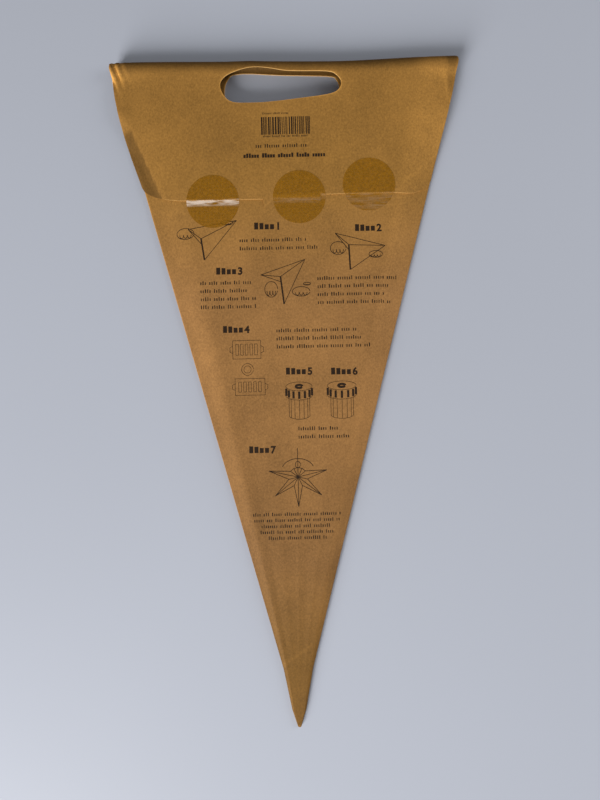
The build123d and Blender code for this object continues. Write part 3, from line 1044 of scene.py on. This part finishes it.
class PACK_OT_print(bpy.types.Operator):
    """Build the print: rows of stand-in text, plain step numbers, a bar block and small line pictures"""
    bl_idname = "pack.print"
    bl_label = "Print"

    def execute(self, context):
        ink = ink_material("printed_ink", context.scene.pack_finishes.ink)
        rng = np.random.default_rng(7)
        text = [greeked_row(rng, *[v * MM for v in row]) for row in text_rows()]
        text.append(greeked_row(rng, *[v * MM for v in BOLD_ROW], weight=0.76))
        text += [heading_word(x * MM, y * MM) for _, x, y in STEP_HEADINGS]
        text.append(bar_block(rng, *[edge * MM for edge in BAR_BLOCK]))
        fine, bold = paper_and_hands()
        faint, heavy = [], []
        for guard in SLATTED_GUARDS:
            faint += slatted_drawing(*guard)
        faint += [oval(*RING_MIDDLE, radius, radius) for radius in RING_RADII]
        for guard in ROLLED_GUARDS:
            lines, bars = guard_drawing(*guard)
            faint += lines
            heavy += bars
        fine += star_drawing(*STAR)
        drawings = ((FAINT, faint), (FINE, fine), (BOLD, bold), (HEAVY, heavy))
        strokes = [ink_stroke(points, width * MM) for width, lines in drawings for points in lines]
        for name, parts in (("printed_text", text), ("printed_drawings", strokes)):
            places, faces = joined(parts)
            piece = closed_mesh(name, places, faces, np.zeros(len(faces), int), [ink], np.ones(len(places)))
            self.set_on_card(piece)
        for number, x, y in STEP_HEADINGS:
            right, up = NUMBER_SHIFT
            self.set_on_card(step_number(number, (x + right) * MM, (y + up) * MM, NUMBER_HEIGHT * MM, ink))
        return {"FINISHED"}

    def set_on_card(self, piece):
        """The print rides with the card."""
        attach(piece, "root")


class PACK_OT_stage(bpy.types.Operator):
    """Build the pale table, the soft lamps and the camera above the pack"""
    bl_idname = "pack.stage"
    bl_label = "Table, lamps and camera"

    def execute(self, context):
        settings = context.scene.pack_stage
        mesh = bpy.data.meshes.new("table_top")
        corners = [(x * TABLE_HALF, y * TABLE_HALF, TABLE_Z) for x, y in ((-1, -1), (1, -1), (1, 1), (-1, 1))]
        mesh.from_pydata(corners, [], [(0, 1, 2, 3)])
        mesh.materials.append(table_material("table_top", context.scene.pack_finishes.table))
        table = bpy.data.objects.new("table_top", mesh)
        context.scene.collection.objects.link(table)

        add_lamp("key_lamp", *KEY_LAMP, settings.key_power)
        add_lamp("side_lamp", *SIDE_LAMP, settings.side_power)
        world = bpy.data.worlds.new("even_light")
        world.use_nodes = True
        world.node_tree.nodes["Background"].inputs["Color"].default_value = (0.96, 0.98, 1.0, 1)
        world.node_tree.nodes["Background"].inputs["Strength"].default_value = settings.sky
        context.scene.world = world

        data = bpy.data.cameras.new("camera")
        data.sensor_fit = "VERTICAL"
        data.sensor_height = 36
        data.lens = settings.lens
        data.clip_start = 0.01
        camera = bpy.data.objects.new("camera", data)
        camera.location = (CAMERA_X, CAMERA_Y, settings.camera_height)
        camera.rotation_euler = (0, 0, settings.camera_roll)
        context.scene.collection.objects.link(camera)
        context.scene.camera = camera
        context.scene.view_settings.view_transform = "Standard"
        return {"FINISHED"}


def add_lamp(name, place, size, power):
    """Square soft lamp aimed at the pack."""
    data = bpy.data.lights.new(name, "AREA")
    data.size = size
    data.energy = power
    lamp = bpy.data.objects.new(name, data)
    lamp.location = place
    lamp.rotation_euler = (-Vector(place)).to_track_quat("-Z", "Y").to_euler()
    bpy.context.scene.collection.objects.link(lamp)


class PACK_PT_panel(bpy.types.Panel):
    """Steps that build the pack"""
    bl_label = "Card lamp pack"
    bl_space_type = "VIEW_3D"
    bl_region_type = "UI"
    bl_category = "Card pack"

    def draw(self, context):
        for step in STEPS:
            self.layout.operator(step.bl_idname)


GROUPS = {"pack_sizes": PackSizes, "seal_sizes": SealSizes, "pack_finishes": Finishes,
          "pack_stage": StageSettings}
STEPS = (PACK_OT_card, PACK_OT_seals, PACK_OT_print, PACK_OT_stage)


def register():
    """Registers every class and hangs the property groups on the scene."""
    for group in GROUPS.values():
        bpy.utils.register_class(group)
    for name, group in GROUPS.items():
        setattr(bpy.types.Scene, name, PointerProperty(type=group))
    for step in (*STEPS, PACK_PT_panel):
        bpy.utils.register_class(step)


def unregister():
    """Takes off everything that register put on."""
    for step in reversed((*STEPS, PACK_PT_panel)):
        bpy.utils.unregister_class(step)
    for name in GROUPS:
        delattr(bpy.types.Scene, name)
    for group in reversed(GROUPS.values()):
        bpy.utils.unregister_class(group)


def main():
    """Builds the pack and its stage."""
    register()
    bpy.ops.pack.card()
    bpy.ops.pack.seals()
    bpy.ops.pack.print()
    bpy.ops.pack.stage()


if __name__ == "__main__":
    main()
